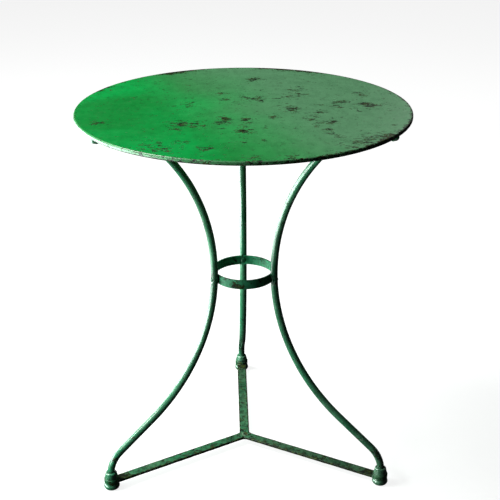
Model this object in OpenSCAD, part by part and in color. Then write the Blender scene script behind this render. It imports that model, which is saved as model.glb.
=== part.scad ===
/* [Table] */
// Height of the top surface above the floor
table_h = 710; // [690:5:740]
// Diameter of the round top
top_d = 605; // [580:5:640]

/* [Top] */
// Thickness of the top's sheet
sheet_t = 1.5; // [1:0.25:2]
// Outside radius of the sheet's two folds at the rim
fold_r = 3; // [2.5:0.25:3.5]
// Width of the lip that is folded in under the hoop
lip_w = 5; // [4.5:0.25:5.5]
// Width of the flat hoop inside the rim
hoop_w = 20; // [18:1:24]
// Thickness of the flat hoop inside the rim
hoop_t = 5; // [4:0.5:6]

/* [Legs] */
// Diameter of the round bar that the legs are bent from
rod_d = 14; // [13:0.5:15]
// Distance from the table's axis to each leg's middle at the waist
waist_r = 65; // [58:1:75]
// Distance from the table's axis to each foot's middle
foot_pcd_r = 299; // [290:1:310]
// Distance from the table's axis to where each leg turns level under the top
shoulder_end_r = 255; // [245:1:262]
// Angle of the leg from upright below the waist
lower_splay = 55; // [52:1:58]
// Angle of the leg from upright above the waist
upper_splay = 45; // [42:1:48]
// Bend radius of the leg's middle below the waist
lower_bend_r = 338; // [310:1:350]
// Bend radius of the leg's middle above the foot
ankle_bend_r = 51; // [42:1:60]

/* [Waist ring] */
// Height of the ring's band
ring_h = 18.5; // [14:0.5:22]
// Thickness of the ring's band
ring_t = 3; // [2:0.5:4]
// Distance from the waist's narrowest point down to the middle of the ring
ring_drop = 13.5; // [0:0.5:20]

/* [Base] */
// Width of the three flat arms
arm_w = 20; // [17:1:23]
// Thickness of the three flat arms
arm_t = 5; // [4:0.5:7]
// Diameter of the eye at the end of each arm
eye_d = 28.5; // [27:0.5:30]
// Height of the eye at the end of each arm
eye_h = 11.5; // [10:0.5:13]
// Radius of the weld fillets in the corners of the hub
hub_fillet_r = 9; // [5:1:12]

/* [Feet] */
// Largest diameter of the knob foot
knob_d = 30; // [29:0.5:32]
// Height of the knob foot
knob_h = 12.5; // [11:0.5:13]
// Diameter of the foot of the collar above the eye
collar_d = 26; // [24:0.5:27]
// Height of the collar above the eye
collar_h = 12; // [10:0.5:14]

/* [Rivets] */
// Diameter of every rivet's shank
rivet_d = 5; // [4:0.5:5.5]
// Diameter of the round rivet heads inside the ring
ring_head_d = 11; // [9:0.5:12]
// Diameter of the rivet heads that sit on the legs
rod_head_d = 8; // [7:0.5:8.5]

/* [Hidden] */
$fn = 96;

// The legs stand a third of a turn apart, seen from above, with -Y at the front.
left_az = -150;
right_az = -30;
back_az = 90;
leg_spread = 120;

// Clearance of a fit, and how far a cut runs past a surface
fit_gap = 0.05;
cut_over = 1;

// Top, from the surface down
top_r = top_d / 2;
sheet_under_z = table_h - sheet_t;
hoop_under_z = sheet_under_z - hoop_t;
rim_under_z = hoop_under_z - sheet_t;
hoop_outer_r = top_r - sheet_t - fit_gap;
hoop_inner_r = hoop_outer_r - hoop_w;

// Legs. The upper end lies level under the hoop, on a flat that is filed into the rod.
rod_r = rod_d / 2;
seat_cut = 1;
rod_end_r = top_r - 4.5;
rod_level_z = hoop_under_z - rod_r + seat_cut;
top_rivet_r = rod_end_r - 10.5;

// Feet, from the floor up: knob, eye of the arm, collar, then the leg's ankle bend, which starts just inside
// the collar's mouth
eye_top_z = knob_h + eye_h;
collar_top_z = eye_top_z + collar_h;
ankle_sink = 4;
ankle_z = collar_top_z - ankle_sink;
spigot_r = 5;
spigot_end_z = 4.5;
foot_bore_end_z = 4;

// Lower half of a leg: an arc, a straight stretch and the ankle's arc back to upright
lower_run_r = (lower_bend_r + ankle_bend_r) * (1 - cos(lower_splay));
shank_len = (foot_pcd_r - waist_r - lower_run_r) / sin(lower_splay);
waist_z = ankle_z + (lower_bend_r + ankle_bend_r) * sin(lower_splay) + shank_len * cos(lower_splay);
shank_start_r = waist_r + lower_bend_r * (1 - cos(lower_splay));
shank_start_z = waist_z - lower_bend_r * sin(lower_splay);
shank_lap = 1;
shank_play = 0.02;

// Upper half of a leg: two arcs, one after the other, that end level at the shoulder's end.
// Their radii follow from the distance and the height that the two arcs cover together.
upper_run_r = shoulder_end_r - waist_r;
upper_run_z = rod_level_z - waist_z;
arc_sum = sin(upper_splay) + cos(upper_splay) - 1;
upper_bend_r = (upper_run_z * cos(upper_splay) - upper_run_r * (1 - sin(upper_splay))) / arc_sum;
shoulder_bend_r = (upper_run_r * sin(upper_splay) - upper_run_z * (1 - cos(upper_splay))) / arc_sum;

// Waist ring. It sits in a shallow saddle in each rod, just below the narrowest point.
saddle_cut = 0.8;
ring_mid_z = waist_z - ring_drop;
rod_mid_r_at_ring = waist_r + lower_bend_r - sqrt(pow(lower_bend_r, 2) - pow(ring_drop, 2));
ring_outer_r = rod_mid_r_at_ring - rod_r + saddle_cut;
ring_inner_r = ring_outer_r - ring_t;

// Rivet heads
ring_head_h = 3.2;
rod_head_h = 2.4;
spot_cut = 1.2;
spot_d = rod_head_d + 1;
sunk_head_d = rivet_d + 4;
sunk_head_h = 2;
top_spot_z = rod_level_z - rod_r + spot_cut;
ring_spot_r = rod_mid_r_at_ring + rod_r - spot_cut;

// Base
eye_edge_r = 1.5;
collar_top_wall = 4;
collar_edge = 1.2;
collar_bevel = 2;
mouth_gap = 0.4;
mouth_depth = 5;
hub_corner_r = arm_w / 2 / sin(leg_spread / 2);
hub_mitre_x = arm_w / 2 / tan(leg_spread / 2);
weld_bead_d = 15;
weld_bead_h = 1;

// A round bar bent through part of a circle in the XZ plane, about the origin
module bent_bar(bend_r, from_angle, turn) {
    rotate([90, 0, 0])
        rotate_extrude(start = from_angle, angle = turn)
            translate([bend_r, 0])
                circle(d = rod_d);
}

// The low round cap of a rivet or a weld, standing on Z = 0
module dome(d, h) {
    ball_r = (pow(d / 2, 2) + pow(h, 2)) / (2 * h);
    rotate_extrude()
        intersection() {
            translate([0, h - ball_r])
                circle(r = ball_r);
            square([d / 2, h]);
        }
}

// A disc's half outline with its outer corners rounded
module rounded_half_outline(r, h, edge_r) {
    square([r - edge_r, h]);
    translate([0, edge_r])
        square([r, h - 2 * edge_r]);
    for (z = [edge_r, h - edge_r])
        translate([r - edge_r, z])
            circle(r = edge_r);
}

// A quarter of the sheet's fold, from straight out to straight up
module fold_quarter() {
    intersection() {
        difference() {
            circle(r = fold_r);
            circle(r = fold_r - sheet_t);
        }
        square(fold_r);
    }
}

module top_sheet() {
    wall_h = table_h - rim_under_z - 2 * fold_r;
    color("seagreen")
        rotate_extrude() {
            translate([0, sheet_under_z])
                square([top_r - fold_r, sheet_t]);
            translate([top_r - fold_r, table_h - fold_r])
                fold_quarter();
            translate([top_r - sheet_t, rim_under_z + fold_r])
                square([sheet_t, wall_h]);
            translate([top_r - fold_r, rim_under_z + fold_r])
                mirror([0, 1])
                    fold_quarter();
            translate([top_r - lip_w, rim_under_z])
                square([lip_w - fold_r, sheet_t]);
        }
}

// The hoop's outer corners follow the inside of the sheet's folds.
module hoop_outline() {
    corner_r = fold_r - sheet_t;
    translate([hoop_inner_r, 0])
        square([hoop_w - corner_r, hoop_t]);
    translate([hoop_inner_r, corner_r])
        square([hoop_w, hoop_t - 2 * corner_r]);
    for (z = [corner_r, hoop_t - corner_r])
        translate([hoop_outer_r - corner_r, z])
            circle(r = corner_r);
}

module rim_hoop() {
    color("darkolivegreen")
        difference() {
            translate([0, 0, hoop_under_z])
                rotate_extrude()
                    hoop_outline();
            for (az = [left_az, right_az, back_az])
                rotate([0, 0, az])
                    translate([top_rivet_r, 0, 0]) {
                        translate([0, 0, hoop_under_z - cut_over])
                            cylinder(d = rivet_d, h = hoop_t + 2 * cut_over);
                        sunk_head();
                    }
        }
}

// The countersunk upper head of a top rivet, flush with the hoop's upper face
module sunk_head() {
    translate([0, 0, sheet_under_z - sunk_head_h])
        cylinder(d1 = rivet_d, d2 = sunk_head_d, h = sunk_head_h);
}

// The half ball that closes the level end of the bar, towards +X
module rod_end() {
    rotate([0, 90, 0])
        rotate_extrude()
            intersection() {
                circle(d = rod_d);
                square(rod_d);
            }
}

// The bent bar along +X, before its holes and seats are cut.
// Its straight shank laps into both bends, a hair thinner than they are, so that all join into one solid.
module leg_bar() {
    level_len = rod_end_r - rod_r - shoulder_end_r;
    translate([waist_r + upper_bend_r, 0, waist_z])
        bent_bar(upper_bend_r, 180 - upper_splay, upper_splay);
    translate([shoulder_end_r, 0, rod_level_z - shoulder_bend_r])
        bent_bar(shoulder_bend_r, 90, 90 - upper_splay);
    translate([shoulder_end_r, 0, rod_level_z])
        rotate([0, 90, 0])
            cylinder(d = rod_d, h = level_len);
    translate([shoulder_end_r + level_len, 0, rod_level_z])
        rod_end();
    translate([waist_r + lower_bend_r, 0, waist_z])
        bent_bar(lower_bend_r, 180, lower_splay);
    translate([shank_start_r, 0, shank_start_z])
        rotate([0, 180 - lower_splay, 0])
            translate([0, 0, -shank_lap])
                cylinder(d = rod_d - 2 * shank_play, h = shank_len + 2 * shank_lap);
    translate([foot_pcd_r - ankle_bend_r, 0, ankle_z])
        bent_bar(ankle_bend_r, 0, lower_splay);
    translate([foot_pcd_r, 0, eye_top_z])
        cylinder(d = rod_d, h = ankle_z - eye_top_z);
    translate([foot_pcd_r, 0, spigot_end_z])
        cylinder(r = spigot_r, h = eye_top_z - spigot_end_z);
}

module leg(az) {
    color("mediumseagreen")
        rotate([0, 0, az])
            difference() {
                leg_bar();
                // Flat seat under the hoop
                translate([hoop_inner_r - 2 * cut_over, -rod_r, hoop_under_z])
                    cube([hoop_w, rod_d, rod_d]);
                // Hole and spot face of the rivet that holds the top
                translate([top_rivet_r, 0, rod_level_z - rod_d])
                    cylinder(d = rivet_d, h = 2 * rod_d);
                translate([top_rivet_r, 0, top_spot_z - rod_r])
                    cylinder(d = spot_d, h = rod_r);
                // Saddle, hole and spot face at the waist ring
                translate([0, 0, ring_mid_z - ring_h / 2])
                    cylinder(r = ring_outer_r, h = ring_h);
                translate([ring_inner_r, 0, ring_mid_z])
                    rotate([0, 90, 0])
                        cylinder(d = rivet_d, h = 2 * rod_d);
                translate([ring_spot_r, 0, ring_mid_z])
                    rotate([0, 90, 0])
                        cylinder(d = spot_d, h = rod_r);
            }
}

module top_rivet(az) {
    color("darkgreen")
        rotate([0, 0, az])
            translate([top_rivet_r, 0, 0]) {
                translate([0, 0, top_spot_z])
                    cylinder(d = rivet_d, h = sheet_under_z - top_spot_z);
                sunk_head();
                translate([0, 0, top_spot_z])
                    mirror([0, 0, 1])
                        dome(rod_head_d, rod_head_h);
            }
}

module waist_ring() {
    color("seagreen")
        difference() {
            translate([0, 0, ring_mid_z - ring_h / 2])
                difference() {
                    cylinder(r = ring_outer_r, h = ring_h);
                    translate([0, 0, -cut_over])
                        cylinder(r = ring_inner_r, h = ring_h + 2 * cut_over);
                }
            for (az = [left_az, right_az, back_az])
                rotate([0, 0, az])
                    translate([ring_inner_r - ring_t, 0, ring_mid_z])
                        rotate([0, 90, 0])
                            cylinder(d = rivet_d, h = 3 * ring_t);
        }
}

// The inner head's back follows the curve of the band that it sits on.
module ring_rivet(az) {
    color("darkgreen")
        rotate([0, 0, az])
            translate([0, 0, ring_mid_z]) {
                translate([ring_inner_r - cut_over, 0, 0])
                    rotate([0, 90, 0])
                        cylinder(d = rivet_d, h = ring_spot_r - ring_inner_r + cut_over);
                translate([ring_spot_r, 0, 0])
                    rotate([0, 90, 0])
                        dome(rod_head_d, rod_head_h);
                intersection() {
                    translate([ring_inner_r, 0, 0])
                        rotate([0, -90, 0])
                            dome(ring_head_d, ring_head_h);
                    cylinder(r = ring_inner_r, h = ring_head_d, center = true);
                }
            }
}

// One flat arm, from its mitred end at the hub to the eye round the leg's spigot
module arm(az) {
    color("seagreen")
        rotate([0, 0, az])
            difference() {
                union() {
                    translate([0, 0, knob_h])
                        linear_extrude(arm_t)
                            polygon([
                                [0, 0],
                                [hub_mitre_x, -arm_w / 2],
                                [foot_pcd_r, -arm_w / 2],
                                [foot_pcd_r, arm_w / 2],
                                [hub_mitre_x, arm_w / 2],
                            ]);
                    translate([foot_pcd_r, 0, knob_h])
                        rotate_extrude()
                            rounded_half_outline(eye_d / 2, eye_h, eye_edge_r);
                }
                translate([foot_pcd_r, 0, knob_h - cut_over])
                    cylinder(r = spigot_r + fit_gap, h = eye_h + 2 * cut_over);
            }
}

// The weld that joins the arms: a fillet in each corner of the hub, and a low bead over the mitres
module hub_weld() {
    fillet_mid_r = hub_corner_r + hub_fillet_r / sin(leg_spread / 2);
    touch_x = hub_corner_r + hub_fillet_r / tan(leg_spread / 2) * cos(leg_spread / 2);
    touch_y = hub_fillet_r / tan(leg_spread / 2) * sin(leg_spread / 2);
    color("olivedrab") {
        for (az = [left_az, right_az, back_az])
            rotate([0, 0, az + leg_spread / 2])
                translate([0, 0, knob_h])
                    linear_extrude(arm_t)
                        difference() {
                            polygon([
                                [hub_corner_r, 0],
                                [touch_x, -touch_y],
                                [fillet_mid_r, 0],
                                [touch_x, touch_y],
                            ]);
                            translate([fillet_mid_r, 0])
                                circle(r = hub_fillet_r);
                        }
        translate([0, 0, knob_h + arm_t])
            dome(weld_bead_d, weld_bead_h);
    }
}

// The collar above the eye. Its bore widens towards the mouth, where the leg starts to bend.
module collar(az) {
    color("mediumseagreen")
        rotate([0, 0, az])
            translate([foot_pcd_r, 0, eye_top_z])
                rotate_extrude()
                    polygon([
                        [rod_r + fit_gap, 0],
                        [collar_d / 2, 0],
                        [collar_d / 2, collar_edge],
                        [rod_r + collar_top_wall, collar_h - collar_bevel],
                        [rod_r + collar_top_wall - collar_bevel, collar_h],
                        [rod_r + mouth_gap, collar_h],
                        [rod_r + fit_gap, collar_h - mouth_depth],
                    ]);
}

// The knob foot, with a blind threaded bore for the leg's spigot
module foot(az) {
    bulge_r = knob_h / 2;
    color("seagreen")
        rotate([0, 0, az])
            translate([foot_pcd_r, 0, 0])
                difference() {
                    rotate_extrude() {
                        square([knob_d / 2 - bulge_r, knob_h]);
                        translate([knob_d / 2 - bulge_r, bulge_r])
                            circle(r = bulge_r);
                    }
                    translate([0, 0, foot_bore_end_z])
                        cylinder(r = spigot_r + fit_gap, h = knob_h);
                }
}

top_sheet();
rim_hoop();
leg(left_az);  // leg_left
leg(right_az);  // leg_right
leg(back_az);  // leg_back
top_rivet(left_az);  // top_rivet_left
top_rivet(right_az);  // top_rivet_right
top_rivet(back_az);  // top_rivet_back
waist_ring();
ring_rivet(left_az);  // ring_rivet_left
ring_rivet(right_az);  // ring_rivet_right
ring_rivet(back_az);  // ring_rivet_back
arm(left_az);  // arm_left
arm(right_az);  // arm_right
arm(back_az);  // arm_back
hub_weld();
collar(left_az);  // collar_left
collar(right_az);  // collar_right
collar(back_az);  // collar_back
foot(left_az);  // foot_left
foot(right_az);  // foot_right
foot(back_az);  // foot_back
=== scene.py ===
"""A green painted iron bistro table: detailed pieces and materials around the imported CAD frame, in metres."""
import math

import bpy
import numpy as np
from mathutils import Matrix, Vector, noise


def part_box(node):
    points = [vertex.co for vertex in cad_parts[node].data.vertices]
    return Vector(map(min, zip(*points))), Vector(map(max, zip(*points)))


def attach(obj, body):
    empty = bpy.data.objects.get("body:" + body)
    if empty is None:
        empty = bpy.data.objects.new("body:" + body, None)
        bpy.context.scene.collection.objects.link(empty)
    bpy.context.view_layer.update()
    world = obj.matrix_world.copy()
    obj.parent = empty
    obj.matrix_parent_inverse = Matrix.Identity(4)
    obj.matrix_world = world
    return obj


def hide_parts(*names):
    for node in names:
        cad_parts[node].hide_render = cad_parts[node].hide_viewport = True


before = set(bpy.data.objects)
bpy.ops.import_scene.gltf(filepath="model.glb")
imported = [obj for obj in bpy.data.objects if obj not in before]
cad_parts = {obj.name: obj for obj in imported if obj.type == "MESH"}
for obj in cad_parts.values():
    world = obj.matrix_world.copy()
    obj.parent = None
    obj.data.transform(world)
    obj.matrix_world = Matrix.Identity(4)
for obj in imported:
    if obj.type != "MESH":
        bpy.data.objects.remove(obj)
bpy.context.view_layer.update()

MM = 0.001

# ---------------------------------------------------------------- sizes
# They come from the frame's boxes. Those that no box shows repeat the design's own driving dimensions.

SIDES = {"left": math.radians(-150), "right": math.radians(-30), "back": math.radians(90)}

TOP_LOW, TOP_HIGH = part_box("top_sheet")
TOP_R = TOP_HIGH.x
TABLE_H = TOP_HIGH.z
RIM_UNDER_Z = TOP_LOW.z
HOOP_LOW, HOOP_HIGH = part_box("rim_hoop")
HOOP_UNDER_Z = HOOP_LOW.z
SHEET_T = TABLE_H - HOOP_HIGH.z
HOOP_W = 20 * MM
HOOP_INNER_R = TOP_R - SHEET_T - HOOP_W
LIP_W = 5 * MM
FOLD_R = 3 * MM
# The small cap that closes the sheet's mesh at its middle
CENTRE_R = TOP_R * 0.004

FOOT_LOW, FOOT_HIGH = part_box("foot_back")
FOOT_R = (FOOT_LOW.y + FOOT_HIGH.y) / 2
KNOB_D = FOOT_HIGH.x - FOOT_LOW.x
KNOB_H = FOOT_HIGH.z
EYE_TOP_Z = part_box("arm_back")[1].z
EYE_D = 2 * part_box("arm_back")[1].x
ARM_W = 20 * MM
COLLAR_LOW, COLLAR_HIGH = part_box("collar_back")
COLLAR_D = COLLAR_HIGH.x - COLLAR_LOW.x
SPIGOT_R = 5 * MM
SPIGOT_END_Z = 4.5 * MM
FOOT_BORE_END_Z = 4 * MM
FIT_GAP = 0.05 * MM

RING_LOW, RING_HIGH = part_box("waist_ring")
RING_MID_Z = (RING_LOW.z + RING_HIGH.z) / 2
RING_H = RING_HIGH.z - RING_LOW.z
RING_T = 3 * MM
RING_OUTER_R = RING_HIGH.x
RING_INNER_R = RING_OUTER_R - RING_T

ROD_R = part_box("leg_back")[1].x
WAIST_R = 65 * MM
ANKLE_SINK = 4 * MM
ANKLE_Z = COLLAR_HIGH.z - ANKLE_SINK
SHOULDER_END_R = 255 * MM
LOWER_SPLAY = math.radians(55)
UPPER_SPLAY = math.radians(45)
LOWER_BEND_R = 338 * MM
ANKLE_BEND_R = 51 * MM
SEAT_CUT = 1 * MM
ROD_LEVEL_Z = HOOP_UNDER_Z - ROD_R + SEAT_CUT
TIP_INSET = 4.5 * MM
ROD_END_R = TOP_R - TIP_INSET
RIVET_FROM_TIP = 10.5 * MM
TOP_RIVET_R = ROD_END_R - RIVET_FROM_TIP
SPOT_R = 4.5 * MM
SPOT_CUT = 1.2 * MM
SADDLE_CUT = 0.8 * MM

# The shank's length and the two upper bends follow from where a leg has to start and end.
LOWER_BENDS_R = LOWER_BEND_R + ANKLE_BEND_R
SHANK_LEN = (FOOT_R - WAIST_R - LOWER_BENDS_R * (1 - math.cos(LOWER_SPLAY))) / math.sin(LOWER_SPLAY)
WAIST_Z = ANKLE_Z + LOWER_BENDS_R * math.sin(LOWER_SPLAY) + SHANK_LEN * math.cos(LOWER_SPLAY)
UPPER_RUN_R = SHOULDER_END_R - WAIST_R
UPPER_RUN_Z = ROD_LEVEL_Z - WAIST_Z
SIN_UP, COS_UP = math.sin(UPPER_SPLAY), math.cos(UPPER_SPLAY)
UPPER_BEND_R = (UPPER_RUN_Z * COS_UP - UPPER_RUN_R * (1 - SIN_UP)) / (SIN_UP + COS_UP - 1)
SHOULDER_BEND_R = (UPPER_RUN_R * SIN_UP - UPPER_RUN_Z * (1 - COS_UP)) / (SIN_UP + COS_UP - 1)

# ---------------------------------------------------------------- mesh helpers


def skin(name, rings, wrap=False):
    """A closed mesh through rings of points. With wrap the last ring meets the first, else caps close it."""
    count = len(rings[0])
    points = [p for ring in rings for p in ring]
    faces = []
    for i in range(len(rings) if wrap else len(rings) - 1):
        here, there = i * count, (i + 1) % len(rings) * count
        for j in range(count):
            k = (j + 1) % count
            faces.append((here + j, here + k, there + k, there + j))
    if not wrap:
        for ring_start, turn in ((0, -1), ((len(rings) - 1) * count, 1)):
            middle = sum((Vector(p) for p in points[ring_start:ring_start + count]), Vector()) / count
            points.append(middle)
            for j in range(count):
                edge = (ring_start + j, ring_start + (j + 1) % count)
                faces.append((edge[::turn][0], edge[::turn][1], len(points) - 1))
    mesh = bpy.data.meshes.new(name)
    mesh.from_pydata([tuple(p) for p in points], [], faces)
    mesh.polygons.foreach_set("use_smooth", [True] * len(mesh.polygons))
    mesh.update()
    return mesh


def read_points(mesh):
    """A mesh's points as an array of one row each."""
    flat = np.empty(len(mesh.vertices) * 3)
    mesh.vertices.foreach_get("co", flat)
    return flat.reshape(-1, 3)


def write_points(mesh, points):
    """Puts an array of one row a point back on a mesh."""
    mesh.vertices.foreach_set("co", points.ravel())
    mesh.update()


def lump(place):
    """Smooth noise at a place, from about 0 to 1."""
    return 0.5 + 0.5 * noise.noise(place)


def turned(name, outline, segments, centre=(0, 0), unevenness=0.0):
    """A turned piece: the outline is a line of (radius, height) points that starts and ends by the axis."""
    rings = []
    for radius, height in outline:
        ring = []
        for j in range(segments):
            a = 2 * math.pi * j / segments
            direction = Vector((math.cos(a), math.sin(a), 0))
            wobble = 1 + unevenness * noise.noise(direction * 1.3 + Vector((centre[0] * 90, height * 160, 7)))
            ring.append(Vector((centre[0], centre[1], height)) + direction * radius * min(wobble, 1))
        rings.append(ring)
    return skin(name, rings)


def arc(mid_r, mid_z, radius, start, end, steps):
    """Points on an arc in the radius and height plane, with angles in degrees."""
    angles = [math.radians(start + (end - start) * i / steps) for i in range(steps + 1)]
    return [(mid_r + radius * math.cos(a), mid_z + radius * math.sin(a)) for a in angles]


def line(start, end, steps):
    """Points between two points, with neither end."""
    return [(start[0] + (end[0] - start[0]) * i / steps, start[1] + (end[1] - start[1]) * i / steps)
            for i in range(1, steps)]


def around(mesh, azimuth):
    """Turns a mesh built along +X about the table's axis, to stand at an azimuth."""
    c, s = math.cos(azimuth), math.sin(azimuth)
    for v in mesh.vertices:
        x, y = v.co.x, v.co.y
        v.co.x, v.co.y = x * c - y * s, x * s + y * c
    return mesh


def add_piece(mesh, node, material, wear):
    """Stands a finished mesh for a CAD node of the same name, with its wear and painted shade written on its
    points.
    """
    piece = bpy.data.objects.new(node + "_detail", mesh)
    bpy.context.scene.collection.objects.link(piece)
    paint_wear_and_shade(piece, wear)
    mesh.materials.clear()
    mesh.materials.append(material)
    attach(piece, "root")
    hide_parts(node)
    return piece


LUMPS_PER_METRE = 110


def forged(node, voxel, soften, swell):
    """A CAD node's solid with its edges worn round and its faces a little uneven, as a new mesh.

    Voxel and swell are lengths, and soften is a number of passes.
    """
    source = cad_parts[node]
    blank = bpy.data.objects.new(node + "_blank", source.data.copy())
    bpy.context.scene.collection.objects.link(blank)
    remesh = blank.modifiers.new("skin", "REMESH")
    remesh.mode = "VOXEL"
    remesh.voxel_size = voxel
    remesh.use_smooth_shade = True
    smooth = blank.modifiers.new("soften", "SMOOTH")
    smooth.factor = 0.5
    smooth.iterations = soften
    graph = bpy.context.evaluated_depsgraph_get()
    mesh = bpy.data.meshes.new_from_object(blank.evaluated_get(graph))
    bpy.data.objects.remove(blank)
    points = read_points(mesh)
    normals = np.empty(len(points) * 3)
    mesh.vertex_normals.foreach_get("vector", normals)
    push = np.array([noise.noise(Vector(p) * LUMPS_PER_METRE) - 0.5 for p in points]) * swell
    points += normals.reshape(-1, 3) * push[:, None]
    write_points(mesh, np.clip(points, *[list(corner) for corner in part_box(node)]))
    mesh.polygons.foreach_set("use_smooth", [True] * len(mesh.polygons))
    mesh.update()
    return mesh


# ---------------------------------------------------------------- wear and painted shade, written on the points


def paint_wear_and_shade(piece, wear):
    """Writes how likely the paint is to be chipped, from 0 to 1, on each point. Some pieces use these dark
    chips as painted shade.
    """
    mesh = piece.data
    values = np.array([wear(v.co) for v in mesh.vertices], np.float32)
    attribute = mesh.attributes.new("wear", "FLOAT", "POINT")
    attribute.data.foreach_set("value", values)


def spots_wear_and_shade(spots, least):
    """A wear and shade function: the strongest of some round spots, and nowhere less than least.

    A spot is (x, y, z, radius, strength), in millimetres.
    """
    table = np.array(spots, float).reshape(-1, 5) * np.array([MM, MM, MM, MM, 1])

    def wear(co):
        gap = np.linalg.norm(table[:, :3] - np.array(co), axis=1) / table[:, 3]
        return max(least, float((table[:, 4] * np.exp(-gap * gap)).max(initial=0)))

    return wear


# Worn places on the top, judged from the photo, in millimetres from its middle: x, y, radius, strength
TOP_CHIPS = [
    (25, 203, 12, 0.8), (-42, 97, 8, 0.7), (-33, 52, 8, 0.7), (8, 64, 13, 0.6), (24, 58, 13, 0.75),
    (32, 45, 8, 0.6), (-8, 30, 9, 0.5), (-98, 32, 9, 0.6), (-96, 17, 8, 0.6), (-125, 18, 7, 0.4),
    (-200, 75, 6, 0.7), (108, 88, 11, 0.6), (96, 72, 11, 0.5), (104, 120, 17, 0.45), (82, 66, 12, 0.4),
    (66, 60, 8, 0.45), (216, 88, 10, 0.55), (222, 76, 7, 0.5), (222, 14, 12, 0.85), (232, 2, 11, 0.8),
    (183, 33, 8, 0.8), (164, 24, 8, 0.7), (171, 2, 10, 0.6), (203, -8, 7, 0.55), (203, -28, 5, 0.7),
    (252, 6, 10, 0.5), (264, -32, 5, 0.7), (255, -118, 5, 0.7), (88, -10, 12, 0.85), (95, -27, 8, 0.6),
    (62, 10, 6, 0.4), (140, 12, 7, 0.4), (134, -28, 10, 0.75), (124, -58, 9, 0.68), (112, -78, 8, 0.65),
    (50, -65, 7, 0.6), (-32, -72, 11, 0.8), (-38, -92, 12, 0.75), (3, -76, 10, 0.65), (8, -94, 9, 0.55),
    (0, -118, 7, 0.5), (0, -142, 13, 0.82), (10, -155, 8, 0.6), (-40, -130, 5, 0.6),
    (-110, -104, 21, 0.62), (-84, -108, 16, 0.66), (-112, -130, 8, 0.4), (136, -94, 11, 0.72),
    (152, -96, 9, 0.7), (126, -118, 8, 0.7), (140, -140, 8, 0.75), (142, -160, 7, 0.65),
    (156, -176, 7, 0.6), (28, -198, 5, 0.8), (-5, -207, 5, 0.6),
    (-110, -206, 12, 0.55), (-66, -236, 12, 0.5), (-28, -236, 8, 0.4), (-150, -230, 20, 0.5),
    (-130, -244, 14, 0.5), (12, -284, 9, 0.7), (70, -284, 9, 0.6), (-255, -96, 8, 0.7), (-246, -88, 7, 0.65),
    (36, -124, 6, 0.4), (205, -200, 20, 0.7), (228, -183, 14, 0.85), (186, -216, 15, 0.6),
    (170, -234, 12, 0.5), (158, -212, 12, 0.4),
]
# Worn stretches of the rim, the last one painted shade: azimuth in degrees, half width in degrees, depth in
# millimetres, strength
RIM_CHIPS_AND_SHADE = [
    (117, 9, 22, 1.2), (108, 6, 10, 0.9), (70, 14, 18, 1.3), (97, 4, 7, 0.4), (153, 7, 12, 1.0),
    (143, 5, 8, 0.45), (37, 6, 8, 0.45), (10, 4, 5, 0.3), (-42, 13, 16, 0.8), (-62, 7, 8, 0.6),
    (-108, 12, 6, 0.5), (-124, 8, 6, 0.5), (-143, 6, 6, 0.2), (-88, 5, 8, 0.6), (-76, 4, 8, 0.55),
    # The last, widest stretch is painted shade: a dark line along the rim's upper edge at the back and right,
    # away from the key lamp.
    (-20, 6, 6, 0.45), (40, 110, 4.5, 1.25),
]
TOP_SPOTS = np.array(TOP_CHIPS, float)
# At this many of its radii from a spot, its wear has fallen to about a third.
SPOT_SPREAD = 1.35
# The wear of the whole rim, and how far in from it that reaches, in millimetres
RIM_WEAR = 0.2
RIM_WEAR_REACH = 2.2
# The lower fold is painted dark bare iron over this height from below, as painted shade under the rim, and the
# sheet's underside is hardly worn.
SHADED_FOLD_H = 2.4 * MM
LOWER_FOLD_SHADE = 1.0
UNDERSIDE_WEAR = 0.15


def top_wear_and_shade(co):
    """Wear and painted shade of the top: dark bare iron along the lower fold as painted shade, and chipped
    places on its face and along its rim, one long stretch of which is painted shade.
    """
    x, y = co.x / MM, co.y / MM
    below_face = co.z < TABLE_H - 0.75 * SHEET_T
    if below_face and math.hypot(co.x, co.y) < TOP_R - FOLD_R:
        return UNDERSIDE_WEAR
    # Painted shade: the lower fold is dark bare iron.
    if co.z < RIM_UNDER_Z + SHADED_FOLD_H:
        return LOWER_FOLD_SHADE
    gap = np.hypot(TOP_SPOTS[:, 0] - x, TOP_SPOTS[:, 1] - y) / (TOP_SPOTS[:, 2] * SPOT_SPREAD)
    face = float((TOP_SPOTS[:, 3] * np.exp(-gap * gap)).max())
    azimuth = math.degrees(math.atan2(y, x))
    from_rim = max(TOP_R / MM - math.hypot(x, y), 0)
    rim = RIM_WEAR * math.exp(-(from_rim / RIM_WEAR_REACH) ** 2)
    for mid, half, depth, strength in RIM_CHIPS_AND_SHADE:
        off = (azimuth - mid + 180) % 360 - 180
        rim = max(rim, strength * math.exp(-(off / half) ** 2 - (from_rim / depth) ** 2))
    return max(face, rim)


# ---------------------------------------------------------------- materials


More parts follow.
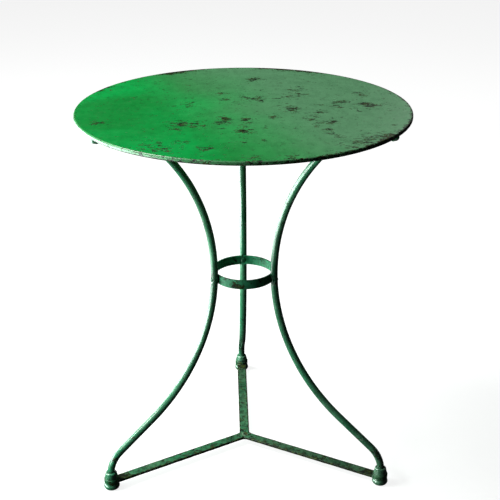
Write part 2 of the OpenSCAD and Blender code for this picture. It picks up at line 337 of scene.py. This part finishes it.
class Graph:
    """A material's nodes, with a short call for each kind that the finishes use."""

    def __init__(self, name):
        self.material = bpy.data.materials.new(name)
        self.material.use_nodes = True
        self.tree = self.material.node_tree
        self.tree.nodes.clear()

    def put(self, kind, inputs=(), **settings):
        """Adds a node. Inputs are (socket, value or another node's output)."""
        node = self.tree.nodes.new(kind)
        for key, value in settings.items():
            setattr(node, key, value)
        for socket, value in inputs:
            if isinstance(value, bpy.types.NodeSocket):
                self.tree.links.new(value, node.inputs[socket])
            else:
                node.inputs[socket].default_value = value
        return node

    def place(self):
        """The point on the surface, in metres in the row frame."""
        return self.put("ShaderNodeTexCoord").outputs["Object"]

    def noise(self, scale, detail=3.0, rough=0.5, warp=0.0, shift=(0, 0, 0), stretch=(1, 1, 1)):
        """Noise of about 0 to 1, with scale in lumps a metre."""
        moved = self.put("ShaderNodeMapping", [
            ("Vector", self.place()), ("Location", shift), ("Scale", stretch)])
        return self.put("ShaderNodeTexNoise", [
            ("Vector", moved.outputs["Vector"]), ("Scale", scale), ("Detail", detail),
            ("Roughness", rough), ("Distortion", warp)]).outputs["Fac"]

    def attribute(self, name):
        """A number painted on the mesh's points."""
        return self.put("ShaderNodeAttribute", attribute_name=name).outputs["Fac"]

    def maths(self, operation, a, b=0.0, clamp=False):
        """The result of one sum on two numbers."""
        node = self.put("ShaderNodeMath", [(0, a), (1, b)], operation=operation, use_clamp=clamp)
        return node.outputs["Value"]

    def fade(self, value, low, high, to_low=0.0, to_high=1.0):
        """A smooth step of value, from to_low at low to to_high at high."""
        inputs = [("Value", value), ("From Min", low), ("From Max", high),
                  ("To Min", to_low), ("To Max", to_high)]
        return self.put("ShaderNodeMapRange", inputs, interpolation_type="SMOOTHSTEP").outputs["Result"]

    def mix(self, share, a, b):
        """A colour between a and b, with the share of b."""
        node = self.put("ShaderNodeMix", data_type="RGBA", clamp_factor=True)
        for socket, value in ((0, share), (6, a), (7, b)):
            if isinstance(value, bpy.types.NodeSocket):
                self.tree.links.new(value, node.inputs[socket])
            else:
                node.inputs[socket].default_value = value
        return node.outputs[2]


def srgb(*levels):
    """A colour given as 8-bit sRGB, as linear light."""
    shares = [level / 255 for level in levels]
    return tuple(((c + 0.055) / 1.055) ** 2.4 if c > 0.04 else c / 12.92 for c in shares) + (1.0,)


LEAF = srgb(0, 148, 63)
MOSS = srgb(8, 124, 48)
# The top's paler colour, for chalky bloom and for the painted glare towards +X and the back
CHALK_AND_GLARE = srgb(82, 134, 94)
DARK_PAINT = srgb(8, 44, 26)
DIRT = srgb(20, 48, 22)
DARK_IRON = srgb(4, 16, 4)
RUST = srgb(50, 64, 22)
FRAME_FRESH = srgb(45, 122, 87)
FRAME_DEEP = srgb(20, 70, 48)
FRAME_PALE = srgb(112, 160, 128)
RING_FRESH = srgb(54, 158, 114)
RING_DEEP = srgb(26, 104, 74)
BASE_FRESH = srgb(44, 110, 74)
BASE_DEEP = srgb(22, 68, 42)
BASE_PALE = srgb(84, 120, 90)
HOOP_DULL = srgb(40, 60, 40)
HOOP_PALE = srgb(80, 84, 60)
WELD_PALE = srgb(132, 124, 96)

# How much the two sizes of flake and the wear and painted shade on the points count towards a chip, and how
# soft its edge is
FLAKE_WEIGHT = 1.3
PIT_WEIGHT = 0.9
WEAR_AND_SHADE_WEIGHT = 0.46
CHIP_EDGE = 0.012
# How far round a chip the dirt reaches, and how dark it is
DIRT_REACH = 0.05
DIRT_SHARE = 0.45
CHIP_DULLNESS = 0.08
CHIP_DEPTH = 0.15 * MM
BRUSH_DEPTH = 0.07 * MM
BUMP_STRENGTH = 0.8
COAT_ROUGHNESS = 0.18


def paint_colour(g, colours, paler_share, mottle, streak):
    """A slow drift between fresh and deep, a shift to the paler colour, then dark mottling and pale bloom in
    streaks. On the top that shift is a painted glare.
    """
    fresh, deep, paler = colours
    drift = g.fade(g.noise(6, 3, 0.5), 0.35, 0.65)
    colour = g.mix(drift, fresh, deep)
    # On the top, this share of the paler colour is a painted glare.
    colour = g.mix(paler_share(g), colour, paler)
    blotch = g.fade(g.noise(95, 5, 0.68, 0.0, (3, 1, 2), streak), 0.42, 0.68)
    colour = g.mix(g.maths("MULTIPLY", blotch, mottle), colour, DARK_PAINT)
    fleck = g.fade(g.noise(430, 3, 0.6, 0.0, (1, 8, 5), streak), 0.56, 0.68)
    colour = g.mix(g.maths("MULTIPLY", fleck, mottle * 0.6), colour, DARK_PAINT)
    bloom = g.fade(g.noise(240, 4, 0.6, 0.0, (6, 3, 7), streak), 0.54, 0.72)
    return g.mix(g.maths("MULTIPLY", bloom, mottle * 0.45), colour, paler)


def chip_field(g, chip_scale, chip_streak):
    """How near the paint is to chipping: two sizes of flake, and the wear and painted shade written on the
    points.
    """
    flakes = g.noise(chip_scale, 5, 0.6, 0.2, (5, 2, 9), chip_streak)
    pits = g.noise(chip_scale * 3, 3, 0.6, 0.0, (2, 7, 1), chip_streak)
    field = g.maths("ADD", g.maths("MULTIPLY", flakes, FLAKE_WEIGHT), g.maths("MULTIPLY", pits, PIT_WEIGHT))
    return g.maths("ADD", field, g.maths("MULTIPLY", g.attribute("wear"), WEAR_AND_SHADE_WEIGHT))


def worn_paint(name, colours, paler_share, chip_scale, chip_level, roughness, mottle=0.4, streak=(1, 1, 1),
               chip_streak=(1, 1, 1), shine=0.5, coat=0.0):
    """Old enamel over iron: mottled colour, dirt, chips down to dark iron where it is worn, and dull scuffs.
    Where the points carry painted shade, the chips paint that shade.

    The colours are fresh, deep and paler. The paint is gone where the chip field passes chip_level.
    """
    g = Graph(name)
    colour = paint_colour(g, colours, paler_share, mottle, streak)
    field = chip_field(g, chip_scale, chip_streak)
    # Chips to dark iron: worn paint, and painted shade where the points carry it.
    chip = g.fade(field, chip_level - CHIP_EDGE, chip_level + CHIP_EDGE)
    dirty = g.fade(field, chip_level - DIRT_REACH, chip_level)
    colour = g.mix(g.maths("MULTIPLY", dirty, DIRT_SHARE), colour, DIRT)
    rust = g.mix(g.fade(g.noise(120, 4, 0.65, 0.2, (9, 4, 4)), 0.46, 0.62), DARK_IRON, RUST)
    colour = g.mix(chip, colour, rust)
    # Shine: a little duller on chips and scuffs
    scuffs = g.noise(38, 6, 0.65, 0.3, (4, 4, 1))
    rough = g.fade(scuffs, 0.3, 0.75, roughness - 0.05, roughness + 0.13)
    rough = g.maths("ADD", rough, g.maths("MULTIPLY", chip, CHIP_DULLNESS), clamp=True)
    # Relief: the paint's thickness at a chip, and brush marks in the paint
    height = g.maths("MULTIPLY", g.maths("SUBTRACT", 1.0, chip), CHIP_DEPTH)
    brush = g.noise(300, 3, 0.5, 0.0, (0, 0, 0), streak)
    height = g.maths("ADD", height, g.maths("MULTIPLY", brush, BRUSH_DEPTH))
    bump = g.put("ShaderNodeBump", [("Height", height), ("Distance", 1.0), ("Strength", BUMP_STRENGTH)])
    shader = g.put("ShaderNodeBsdfPrincipled", [
        ("Base Color", colour), ("Roughness", rough), ("Normal", bump.outputs["Normal"]),
        ("Specular IOR Level", shine), ("Coat Weight", coat), ("Coat Roughness", COAT_ROUGHNESS)])
    out = g.put("ShaderNodeOutputMaterial", [("Surface", shader.outputs["BSDF"])])
    out.is_active_output = True
    return g.material


def steady(share):
    """A share of the paler colour that is much the same all over, for worn_paint."""
    return lambda g: g.maths("MULTIPLY", g.fade(g.noise(11, 3), 0.3, 0.7), share)


# The top's painted glare grows from left to right between these places, in metres along X, later towards the
# front
GLARE_START = -0.16
GLARE_END = 0.13
GLARE_SLANT = 0.35
GLARE_RAGGEDNESS = 0.16
FOLD_PALENESS = 0.8


def glare_side(g):
    """A painted glare: the top is painted paler towards +X and the back, in soft streaks. It is also paler
    round its fold.
    """
    place = g.put("ShaderNodeSeparateXYZ", [("Vector", g.place())]).outputs
    across = g.maths("ADD", place["X"], g.maths("MULTIPLY", place["Y"], GLARE_SLANT))
    drift = g.maths("SUBTRACT", g.noise(3, 2, 0.5), 0.5)
    ragged = g.maths("ADD", across, g.maths("MULTIPLY", drift, GLARE_RAGGEDNESS))
    paler = g.fade(ragged, GLARE_START, GLARE_END)
    level = g.put("ShaderNodeVectorMath", [(0, g.place()), (1, (1, 1, 0))], operation="MULTIPLY")
    length = g.put("ShaderNodeVectorMath", [(0, level.outputs["Vector"])], operation="LENGTH")
    on_fold = g.fade(length.outputs["Value"], TOP_R - 1.2 * FOLD_R, TOP_R - 0.3 * FOLD_R)
    return g.maths("MAXIMUM", paler, g.maths("MULTIPLY", on_fold, FOLD_PALENESS))


FRAME_COLOURS = (FRAME_FRESH, FRAME_DEEP, FRAME_PALE)
ALONG_LEG = (1, 1, 0.5)
PAINT = {
    # The top's paler share is a painted glare.
    "top": worn_paint("top_enamel", (LEAF, MOSS, CHALK_AND_GLARE), glare_side, chip_scale=150, chip_level=1.365,
                      roughness=0.31, mottle=0.16, streak=(1, 0.45, 1), chip_streak=(0.6, 1.1, 1)),
    "leg": worn_paint("leg_enamel", FRAME_COLOURS, steady(0.3), chip_scale=150, chip_level=1.36,
                      roughness=0.23, mottle=0.3, streak=ALONG_LEG, shine=0.75),
    "base": worn_paint("base_enamel", (BASE_FRESH, BASE_DEEP, BASE_PALE), steady(0.6), chip_scale=130,
                       chip_level=1.33, roughness=0.36, mottle=0.9, shine=0.3),
    "ring": worn_paint("ring_enamel", (RING_FRESH, RING_DEEP, FRAME_PALE), steady(0.2), chip_scale=150,
                       chip_level=1.35, roughness=0.42, mottle=0.6, shine=0.2),
    "foot": worn_paint("foot_enamel", FRAME_COLOURS, steady(0.5), chip_scale=170, chip_level=1.34,
                       roughness=0.3, mottle=0.8, shine=0.8, coat=0.7),
    "rivet": worn_paint("rivet_enamel", FRAME_COLOURS, steady(0.2), chip_scale=170, chip_level=1.28,
                        roughness=0.26, mottle=0.6),
    "hoop": worn_paint("hoop_enamel", (FRAME_DEEP, HOOP_DULL, HOOP_PALE), steady(0.5), chip_scale=80,
                       chip_level=1.22, roughness=0.5),
    "weld": worn_paint("weld_enamel", (FRAME_FRESH, FRAME_DEEP, WELD_PALE), steady(0.9), chip_scale=150,
                       chip_level=1.28, roughness=0.45),
}

# ---------------------------------------------------------------- the top


def top_outline():
    """The sheet's section: over the face, round both folds, back under the lip, and inside to the middle."""
    inner = FOLD_R - SHEET_T
    fold_mid_r = TOP_R - FOLD_R
    upper_mid_z, lower_mid_z = TABLE_H - FOLD_R, RIM_UNDER_Z + FOLD_R
    under_z = TABLE_H - SHEET_T
    points = [(CENTRE_R, TABLE_H)]
    points += line(points[0], (fold_mid_r, TABLE_H), 66)
    points += arc(fold_mid_r, upper_mid_z, FOLD_R, 90, 0, 9)
    points += line((TOP_R, upper_mid_z), (TOP_R, lower_mid_z), 3)
    points += arc(fold_mid_r, lower_mid_z, FOLD_R, 0, -90, 9)
    points += [(TOP_R - LIP_W, RIM_UNDER_Z), (TOP_R - LIP_W, RIM_UNDER_Z + SHEET_T)]
    points += arc(fold_mid_r, lower_mid_z, inner, -90, 0, 4)
    points += arc(fold_mid_r, upper_mid_z, inner, 0, 90, 4)
    points += line((fold_mid_r, under_z), (CENTRE_R, under_z), 24)
    points.append((CENTRE_R, under_z))
    return points


# How deep the sheet's slow sag and its ripple are at most, in millimetres
SAG = 0.55
RIPPLE = 0.2
# How much of the sag the sheet's lip takes, and how far the rim is out of round
LIP_SAG_SHARE = 0.4
OUT_OF_ROUND = 0.0006


def dent(co):
    """How far the old sheet sags and ripples at a point, downwards, in metres. It is stiffer near the rim."""
    r = math.hypot(co.x, co.y) / TOP_R
    slow = lump(Vector((co.x * 5, co.y * 5, 3)))
    ripple = lump(Vector((co.x * 17, co.y * 17, 8)))
    return (SAG * slow + RIPPLE * ripple) * MM * (1 - 0.5 * r)


def make_top():
    """The sheet with its two folds at the rim, sagging and rippled."""
    mesh = turned("top_sheet_detail", top_outline(), 360)
    for v in mesh.vertices:
        sag = dent(v.co)
        v.co.z -= sag if v.co.z > TABLE_H - 2 * FOLD_R else sag * LIP_SAG_SHARE
        v.co.z = max(v.co.z, RIM_UNDER_Z)
        pull = 1 - OUT_OF_ROUND * lump(Vector((v.co.x * 9, v.co.y * 9, v.co.z * 200)))
        v.co.x *= pull
        v.co.y *= pull
    mesh.update()
    add_piece(mesh, "top_sheet", PAINT["top"], top_wear_and_shade)


# ---------------------------------------------------------------- the legs


# Worn places that each leg has, one partly painted shade, in millimetres: distance from the table's axis,
# height, radius, strength
LEG_CHIPS_AND_SHADE = [
    # The second place, at the ankle, is a worn patch that also paints shade, darkening the lower leg.
    (299, 30, 14, 0.6), (290, 62, 15, 0.7), (252, 92, 14, 0.35), (110, 235, 16, 0.35), (70, 375, 12, 0.55),
    (72, 395, 9, 0.4), (85, 505, 15, 0.35), (150, 630, 18, 0.35), (285, 697, 14, 0.6),
]
LEG_WEAR = 0.06
PATH_STEP = 2 * MM
# The rounded tip: rings along it, and the angle between them in degrees
TIP_RINGS = 8
TIP_TURN = 10.5
ROD_UNEVENNESS = 0.16 * MM


def leg_line(step):
    """The middle line of a leg from its lower end up, as (radius, height, heading from upright)."""
    points = [(FOOT_R, EYE_TOP_Z, 0.0)]

    def straight(length):
        r, z, heading = points[-1]
        count = max(1, round(length / step))
        out, up = math.sin(heading) * length, math.cos(heading) * length
        for i in range(1, count + 1):
            points.append((r + out * i / count, z + up * i / count, heading))

    def bend(radius, turn):
        r, z, heading = points[-1]
        count = max(1, round(abs(turn) * radius / step))
        side = math.copysign(1, turn)
        mid_r, mid_z = r + side * math.cos(heading) * radius, z - side * math.sin(heading) * radius
        for i in range(1, count + 1):
            h = heading + turn * i / count
            points.append((mid_r - side * math.cos(h) * radius, mid_z + side * math.sin(h) * radius, h))

    straight(ANKLE_Z - EYE_TOP_Z)
    bend(ANKLE_BEND_R, -LOWER_SPLAY)
    straight(SHANK_LEN)
    bend(LOWER_BEND_R, LOWER_SPLAY)
    bend(UPPER_BEND_R, UPPER_SPLAY)
    bend(SHOULDER_BEND_R, math.pi / 2 - UPPER_SPLAY)
    straight(ROD_END_R - ROD_R - SHOULDER_END_R)
    return points


def rod_ring(r, z, heading, radius, seed, sides=32):
    """One ring of points round a leg's middle line, a little out of round."""
    ring = []
    for j in range(sides):
        a = 2 * math.pi * j / sides
        place = Vector((math.cos(a) * 0.6 + seed * 5, math.sin(a) * 0.6, z * 24 + r * 24))
        size = radius - ROD_UNEVENNESS * lump(place)
        across = math.cos(a) * size
        out, down = across * math.cos(heading), across * math.sin(heading)
        ring.append(Vector((r + out, math.sin(a) * size, z - down)))
    return ring


def make_leg(side, seed):
    """A leg: its threaded end as a plain spigot, the bent bar, and the rounded tip under the rim."""
    rings = []
    for z in (SPIGOT_END_Z, SPIGOT_END_Z + 0.5 * MM, EYE_TOP_Z - 0.2 * MM):
        rings.append(rod_ring(FOOT_R, z, 0.0, SPIGOT_R, seed))
    path = leg_line(PATH_STEP)
    rings += [rod_ring(r, z, h, ROD_R, seed) for r, z, h in path]
    end_r, end_z, heading = path[-1]
    for i in range(1, TIP_RINGS + 1):
        a = math.radians(i * TIP_TURN)
        rings.append(rod_ring(end_r + ROD_R * math.sin(a), end_z, heading, ROD_R * math.cos(a), seed))
    mesh = skin(f"leg_{side}_detail", rings)
    ring_spot_r = RING_OUTER_R - SADDLE_CUT + 2 * ROD_R - SPOT_CUT
    top_spot_z = ROD_LEVEL_Z - ROD_R + SPOT_CUT
    for v in mesh.vertices:
        # The flat under the hoop, and the spot face of the rivet below it
        if v.co.x > HOOP_INNER_R - 2 * MM:
            v.co.z = min(v.co.z, HOOP_UNDER_Z)
        if v.co.z > ROD_LEVEL_Z - ROD_R - MM and math.hypot(v.co.x - TOP_RIVET_R, v.co.y) < SPOT_R:
            v.co.z = max(v.co.z, top_spot_z)
        # The saddle for the waist ring, and the spot face of its rivet
        off_z = abs(v.co.z - RING_MID_Z)
        if off_z < RING_H / 2 and v.co.x < WAIST_R:
            v.co.x = max(v.co.x, math.sqrt(RING_OUTER_R ** 2 - v.co.y ** 2))
        if math.hypot(off_z, v.co.y) < SPOT_R and v.co.x > WAIST_R:
            v.co.x = min(v.co.x, ring_spot_r)
    around(mesh, SIDES[side])
    x, y = math.cos(SIDES[side]), math.sin(SIDES[side])
    spots = [(x * r, y * r, z, size, strength) for r, z, size, strength in LEG_CHIPS_AND_SHADE]
    add_piece(mesh, f"leg_{side}", PAINT["leg"], spots_wear_and_shade(spots, LEG_WEAR))


# ---------------------------------------------------------------- waist ring and rivets


def hoop_mesh(name, inner_r, outer_r, low_z, high_z, edge, segments, unevenness):
    """A flat band bent round: a rounded oblong section carried round the axis."""
    section = []
    corners = [(outer_r - edge, high_z - edge, 0), (inner_r + edge, high_z - edge, 90),
               (inner_r + edge, low_z + edge, 180), (outer_r - edge, low_z + edge, 270)]
    for r, z, start in corners:
        section += arc(r, z, edge, start, start + 90, 3)
    full = []
    for i, point in enumerate(section):
        full.append(point)
        ahead = section[(i + 1) % len(section)]
        if abs(ahead[1] - point[1]) > 4 * edge:
            full += line(point, ahead, 8)
    rings = []
    for j in range(segments):
        a = 2 * math.pi * j / segments
        ring = []
        for r, z in full:
            place = Vector((math.cos(a) * 2.2, math.sin(a) * 2.2, z * 60))
            r -= unevenness * lump(place) if r > (inner_r + outer_r) / 2 else 0
            ring.append(Vector((math.cos(a) * r, math.sin(a) * r, z)))
        rings.append(ring[::-1])
    return skin(name, rings, wrap=True)


# Worn places of the waist ring, in millimetres: x, y, height above its middle, radius, strength
RING_CHIPS = [
    (-16, -57, -3, 9, 0.95), (-7, -59, -4, 7, 0.9), (3, -60, -6, 5, 0.5), (30, -52, 7, 8, 0.5),
    (-35, -48, 7, 8, 0.45), (38, 42, 6, 9, 0.5), (-20, 54, -5, 10, 0.5),
]
RING_WEAR = 0.14
RING_EDGE_R = 0.7 * MM
RING_STEPS = 240
RING_UNEVENNESS = 0.2 * MM


def make_ring():
    """The flat band inside the legs, with its edges worn round."""
    mesh = hoop_mesh("waist_ring_detail", RING_INNER_R, RING_OUTER_R, RING_LOW.z, RING_HIGH.z, RING_EDGE_R,
                     RING_STEPS, RING_UNEVENNESS)
    spots = [(x, y, RING_MID_Z / MM + up, size, strength) for x, y, up, size, strength in RING_CHIPS]
    add_piece(mesh, "waist_ring", PAINT["ring"], spots_wear_and_shade(spots, RING_WEAR))


# ---------------------------------------------------------------- base, collars and feet


# Worn places along each arm, in millimetres: distance from the table's axis, radius, strength
ARM_CHIPS = [(12, 9, 0.6), (70, 12, 0.35), (118, 14, 0.4), (182, 13, 0.45), (232, 11, 0.35), (276, 15, 1.15)]
ARM_CHIPS_Z = 16
ARM_WEAR = 0.2
ARM_EDGE_REACH = 3 * MM


def bar_wear_and_shade(azimuth, spots):
    """Wear and painted shade of one arm: its long edges chipped dark, as edge wear and as painted shade for the
    arm's dark sides, with some worn places along it.
    """
    c, s = math.cos(azimuth), math.sin(azimuth)
    placed = spots_wear_and_shade(spots, ARM_WEAR)

    def wear(co):
        along, off = co.x * c + co.y * s, abs(co.y * c - co.x * s)
        if along > FOOT_R - EYE_D / 2:
            return placed(co)
        # The long edges: edge wear, and painted shade for the arm's dark sides.
        from_edge = max(ARM_W / 2 - off, 0)
        return max(placed(co), math.exp(-(from_edge / ARM_EDGE_REACH) ** 2))

    return wear


def make_arms():
    """The three flat arms with their eyes, softened from the CAD solids."""
    for side, azimuth in SIDES.items():
        mesh = forged(f"arm_{side}", voxel=0.8 * MM, soften=5, swell=0.25 * MM)
        x, y = math.cos(azimuth), math.sin(azimuth)
        spots = [(x * r, y * r, ARM_CHIPS_Z, size, strength) for r, size, strength in ARM_CHIPS]
        add_piece(mesh, f"arm_{side}", PAINT["base"], bar_wear_and_shade(azimuth, spots))


def make_weld():
    """The weld where the arms meet, with one worn patch on top."""
    mesh = forged("hub_weld", voxel=0.45 * MM, soften=2, swell=0.4 * MM)
    worn_patch = (2, 3, 18, 7, 0.8)
    add_piece(mesh, "hub_weld", PAINT["weld"], spots_wear_and_shade([worn_patch], least=0.3))


TURNED_SIDES = 72
COLLAR_UNEVENNESS = 0.35 * MM


def make_collar(side):
    """A thick washer, domed at its top, that is nearly as wide as the eye it sits on."""
    bore_r, mouth_r = ROD_R + FIT_GAP, ROD_R + 0.4 * MM
    mouth_depth, taper = 5 * MM, 2 * MM
    low, high, outer = COLLAR_LOW.z, COLLAR_HIGH.z, COLLAR_D / 2
    foot_edge, dome = 0.8 * MM, 2.4 * MM
    section = [(bore_r, low)] + arc(outer - foot_edge, low + foot_edge, foot_edge, -90, 0, 4)
    shoulder = (outer - taper, high - dome)
    section += line(section[-1], shoulder, 6) + arc(shoulder[0] - dome, shoulder[1], dome, 0, 80, 6)
    section += [(mouth_r, high), (bore_r, high - mouth_depth)]
    x, y = math.cos(SIDES[side]) * FOOT_R, math.sin(SIDES[side]) * FOOT_R
    rings = []
    for j in range(TURNED_SIDES):
        a = 2 * math.pi * j / TURNED_SIDES
        ring = []
        for r, z in section[::-1]:
            place = Vector((math.cos(a) * 1.5 + x * 50, math.sin(a) * 1.5, z * 150))
            r = r - COLLAR_UNEVENNESS * lump(place) if r > mouth_r else r
            ring.append(Vector((x + math.cos(a) * r, y + math.sin(a) * r, z)))
        rings.append(ring)
    mesh = skin(f"collar_{side}_detail", rings, wrap=True)
    spots = [(x / MM, y / MM, low / MM, 13, 0.35)]
    add_piece(mesh, f"collar_{side}", PAINT["foot"], spots_wear_and_shade(spots, least=0.15))


def make_foot(side):
    """A turned knob: flat below, round at the side, with a blind bore for the leg's spigot."""
    bulge = KNOB_H / 2
    mid_r = KNOB_D / 2 - bulge
    centre_r, bore_edge = 0.4 * MM, 0.3 * MM
    outline = [(centre_r, 0)] + line((0, 0), (mid_r, 0), 4)
    outline += arc(mid_r, bulge, bulge, -90, 90, 22)
    bore_r = SPIGOT_R + FIT_GAP
    outline += [(bore_r + bore_edge, KNOB_H), (bore_r, KNOB_H - bore_edge), (bore_r, FOOT_BORE_END_Z),
                (centre_r, FOOT_BORE_END_Z)]
    x, y = math.cos(SIDES[side]) * FOOT_R, math.sin(SIDES[side]) * FOOT_R
    mesh = turned(f"foot_{side}_detail", outline, TURNED_SIDES, centre=(x, y), unevenness=0.01)
    spots = [(x / MM, y / MM, -2, 10, 0.8), (x / MM + 9, y / MM - 8, 8, 6, 0.5)]
    add_piece(mesh, f"foot_{side}", PAINT["foot"], spots_wear_and_shade(spots, least=0.1))


make_top()
for number, leg_side in enumerate(SIDES):
    make_leg(leg_side, number)
    make_collar(leg_side)
    make_foot(leg_side)
make_ring()
make_arms()
make_weld()

# These nodes keep their CAD shape. They have no painted wear, so their paints chip at a lower level.
KEPT = {"rim_hoop": "hoop"}
for leg_side in SIDES:
    KEPT[f"top_rivet_{leg_side}"] = "rivet"
    KEPT[f"ring_rivet_{leg_side}"] = "rivet"
for kept_node, paint in KEPT.items():
    for kept_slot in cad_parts[kept_node].material_slots:
        kept_slot.material = PAINT[paint]

# ---------------------------------------------------------------- floor, light and camera


def make_floor():
    """A plain pale floor that reaches past the view."""
    mesh = bpy.data.meshes.new("floor")
    half = 30.0
    corners = [(-half, -half, 0), (half, -half, 0), (half, half, 0), (-half, half, 0)]
    mesh.from_pydata(corners, [], [(0, 1, 2, 3)])
    floor = bpy.data.objects.new("floor", mesh)
    bpy.context.scene.collection.objects.link(floor)
    g = Graph("pale_floor")
    shader = g.put("ShaderNodeBsdfPrincipled", [
        ("Base Color", (0.3, 0.3, 0.3, 1)), ("Roughness", 0.9), ("Specular IOR Level", 0.0),
        ("Emission Color", (1, 1, 1, 1)), ("Emission Strength", 0.86)])
    g.put("ShaderNodeOutputMaterial", [("Surface", shader.outputs["BSDF"])])
    mesh.materials.append(g.material)
    # The table gets no light from the floor, so its sides away from the lamps stay dark.
    floor.visible_diffuse = False
    floor.visible_glossy = False


def softbox(name, place, aim, size, power, tint=(1, 1, 1)):
    """A soft rectangular lamp at a place in metres, turned to its aim, that the camera doesn't see."""
    lamp = bpy.data.lights.new(name, "AREA")
    lamp.shape = "RECTANGLE"
    lamp.size, lamp.size_y = size
    lamp.energy = power
    lamp.color = tint
    box = bpy.data.objects.new(name, lamp)
    box.location = place
    box.rotation_euler = (Vector(aim) - Vector(place)).to_track_quat("-Z", "Y").to_euler()
    box.visible_camera = False
    bpy.context.scene.collection.objects.link(box)


def make_light():
    """A low key and a floor card at the left, a soft lamp above them, a faint one behind, and dim air.

    The key stays below the top, so that the top doesn't mirror it. Only the camera sees the white backdrop.
    """
    softbox("key", (-1.6, 0.15, 0.37), (0, 0.15, 0.37), (2.6, 0.66), 85, (0.8, 1, 0.9))
    softbox("overhead", (-1.9, 0.1, 2.9), (0, 0, 0.6), (1.2, 1.2), 160)
    softbox("glare", (1.5, 3.0, 2.0), (0.15, 0, 0.7), (1.4, 1.0), 4)
    softbox("bounce", (-1.55, 0.7, 0.02), (-1.55, 0.7, 1), (1.7, 2.8), 110, (0.8, 1, 0.9))
    world = bpy.data.worlds.new("studio")
    world.use_nodes = True
    bpy.context.scene.world = world
    tree = world.node_tree
    tree.nodes.clear()
    seen = tree.nodes.new("ShaderNodeBackground")
    seen.inputs["Color"].default_value = (1, 1, 1, 1)
    fill = tree.nodes.new("ShaderNodeBackground")
    fill.inputs["Color"].default_value = (0.02, 0.02, 0.02, 1)
    ray = tree.nodes.new("ShaderNodeLightPath")
    share = tree.nodes.new("ShaderNodeMixShader")
    out = tree.nodes.new("ShaderNodeOutputWorld")
    tree.links.new(ray.outputs["Is Camera Ray"], share.inputs["Fac"])
    tree.links.new(fill.outputs["Background"], share.inputs[1])
    tree.links.new(seen.outputs["Background"], share.inputs[2])
    tree.links.new(share.outputs["Shader"], out.inputs["Surface"])


def make_camera():
    """Seen from the front, a little left of the middle, looking down at about 23 degrees."""
    lens = bpy.data.cameras.new("camera")
    lens.sensor_width = 36
    lens.lens = 75.2
    camera = bpy.data.objects.new("camera", lens)
    camera.location = (-0.038, -1.822, 1.223)
    down, right = math.radians(23.5), math.radians(1.58)
    camera.rotation_euler = (math.pi / 2 - down, math.radians(0.05), -right)
    bpy.context.scene.collection.objects.link(camera)
    bpy.context.scene.camera = camera


make_floor()
make_light()
make_camera()
bpy.context.scene.view_settings.view_transform = "Standard"
